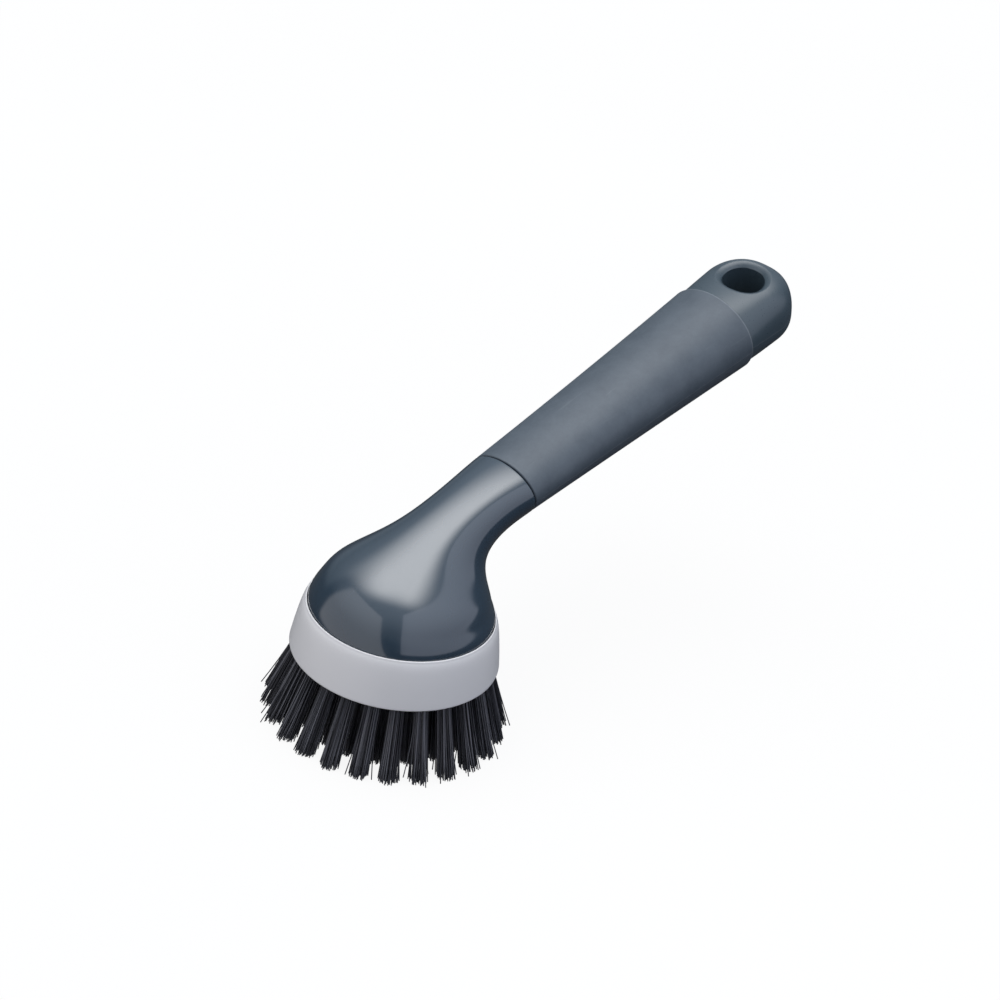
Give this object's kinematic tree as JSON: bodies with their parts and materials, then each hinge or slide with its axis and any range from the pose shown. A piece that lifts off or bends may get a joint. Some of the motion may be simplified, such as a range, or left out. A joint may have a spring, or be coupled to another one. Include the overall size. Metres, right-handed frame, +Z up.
{
  "type": "dish brush",
  "caption": "Dish brush with a round head of splayed bristle tufts in a pale cup, a glossy domed neck, a soft tapered grip and a rounded end with a hanging hole.",
  "frame": {"origin": "middle of the bristle tips, on the plane that they share", "axes": "+Z up along the head's axis from the tips to the dome, +X from the head towards the handle, +Y to the left seen from the head along the handle"},
  "size_m": [0.2176, 0.0796, 0.1179],
  "materials": {
    "handle_gloss": "high gloss dark blue grey",
    "soft_grip": "matt blue grey",
    "end_satin": "satin dark blue grey",
    "block_pale": "satin gloss pale lilac grey",
    "bristle": "near black filaments",
    "anchor_metal": "drawn wire"
  },
  "bodies": {
    "handle": {"handle_body": "handle_gloss", "soft_grip": "soft_grip", "end_cap": "end_satin"},
    "head": {"brush_block": "block_pale", "outer_tuft_01": "bristle", "outer_tuft_02": "bristle", "outer_tuft_03": "bristle", "outer_tuft_04": "bristle", "outer_tuft_05": "bristle", "outer_tuft_06": "bristle", "outer_tuft_07": "bristle", "outer_tuft_08": "bristle", "outer_tuft_09": "bristle", "outer_tuft_10": "bristle", "outer_tuft_11": "bristle", "outer_tuft_12": "bristle", "outer_tuft_13": "bristle", "outer_tuft_14": "bristle", "outer_tuft_15": "bristle", "outer_tuft_16": "bristle", "outer_tuft_17": "bristle", "outer_tuft_18": "bristle", "outer_tuft_19": "bristle", "outer_tuft_20": "bristle", "outer_tuft_21": "bristle", "outer_tuft_22": "bristle", "outer_tuft_23": "bristle", "outer_tuft_24": "bristle", "middle_tuft_01": "bristle", "middle_tuft_02": "bristle", "middle_tuft_03": "bristle", "middle_tuft_04": "bristle", "middle_tuft_05": "bristle", "middle_tuft_06": "bristle", "middle_tuft_07": "bristle", "middle_tuft_08": "bristle", "middle_tuft_09": "bristle", "middle_tuft_10": "bristle", "middle_tuft_11": "bristle", "middle_tuft_12": "bristle", "middle_tuft_13": "bristle", "middle_tuft_14": "bristle", "middle_tuft_15": "bristle", "middle_tuft_16": "bristle", "middle_tuft_17": "bristle", "middle_tuft_18": "bristle", "inner_tuft_01": "bristle", "inner_tuft_02": "bristle", "inner_tuft_03": "bristle", "inner_tuft_04": "bristle", "inner_tuft_05": "bristle", "inner_tuft_06": "bristle", "inner_tuft_07": "bristle", "inner_tuft_08": "bristle", "inner_tuft_09": "bristle", "inner_tuft_10": "bristle", "inner_tuft_11": "bristle", "inner_tuft_12": "bristle", "core_tufts": "bristle", "tuft_anchors": "anchor_metal"}
  },
  "joints": [
    {"name": "head_release", "type": "slide", "parent": "handle", "child": "head", "axis": [0, 0, -1], "range_m": [0, 0.012]}
  ]
}
